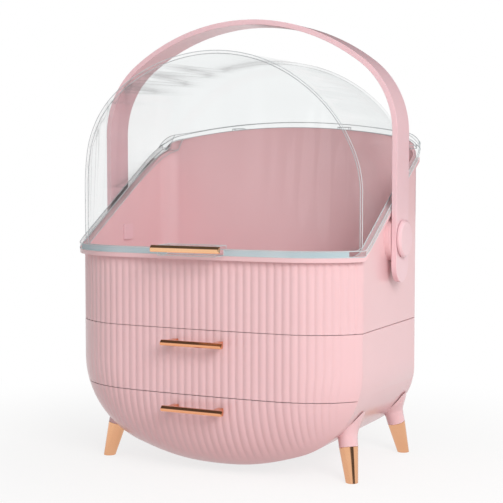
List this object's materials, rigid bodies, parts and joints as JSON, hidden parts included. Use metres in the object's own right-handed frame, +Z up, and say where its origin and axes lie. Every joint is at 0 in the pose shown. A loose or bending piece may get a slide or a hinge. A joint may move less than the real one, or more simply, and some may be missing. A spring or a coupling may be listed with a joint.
{
  "type": "makeup storage case with handle",
  "caption": "Bow-fronted vanity case with reeded drawers, a hinged clear domed lid over a tray, splayed feet and a swinging strap handle.",
  "frame": {"origin": "on the table under the middle of the whole object's outline", "axes": "+Z up, +X to the right as seen from the front, the drawers open towards -Y"},
  "size_m": [0.32, 0.2322, 0.4258],
  "materials": {
    "pink_plastic": "soft satin moulding",
    "handle_plastic": "soft satin moulding",
    "inner_plastic": "plain moulding",
    "clear_plastic": "clear, polished",
    "rose_gold": "polished",
    "steel": "plain"
  },
  "bodies": {
    "case": {"lower_case": "pink_plastic", "drawer_shelf": "inner_plastic", "upper_tray": "pink_plastic", "case_legs": "pink_plastic", "leg_ferrules": "rose_gold", "hinge_pin_left": "steel", "hinge_pin_right": "steel", "pivot_pins": "handle_plastic", "pivot_caps": "handle_plastic"},
    "lid": {"lid": "clear_plastic", "lid_pull_bar": "rose_gold"},
    "handle": {"handle_strap": "handle_plastic"},
    "upper_drawer": {"upper_drawer_front": "pink_plastic", "upper_drawer_box": "inner_plastic", "upper_drawer_pull": "rose_gold", "upper_pull_screws": "steel"},
    "lower_drawer": {"lower_drawer_front": "pink_plastic", "lower_drawer_box": "inner_plastic", "lower_drawer_pull": "rose_gold", "lower_pull_screws": "steel"}
  },
  "joints": [
    {"name": "upper_drawer_slide", "type": "slide", "parent": "case", "child": "upper_drawer", "axis": [0, -1, 0], "range_m": [0, 0.11]},
    {"name": "lower_drawer_slide", "type": "slide", "parent": "case", "child": "lower_drawer", "axis": [0, -1, 0], "range_m": [0, 0.11]},
    {"name": "lid_hinge", "type": "hinge", "parent": "case", "child": "lid", "pos_m": [0, 0.11253, 0.316], "axis": [-1, 0, 0], "range_deg": [0, 90]},
    {"name": "handle_swing", "type": "hinge", "parent": "case", "child": "handle", "pos_m": [0, 0.02082, 0.2191], "axis": [-1, 0, 0], "range_deg": [0, 131]}
  ],
  "couplings": [
    {"joint": "handle_swing", "follows": "lid_hinge", "ratio": 1.45}
  ]
}
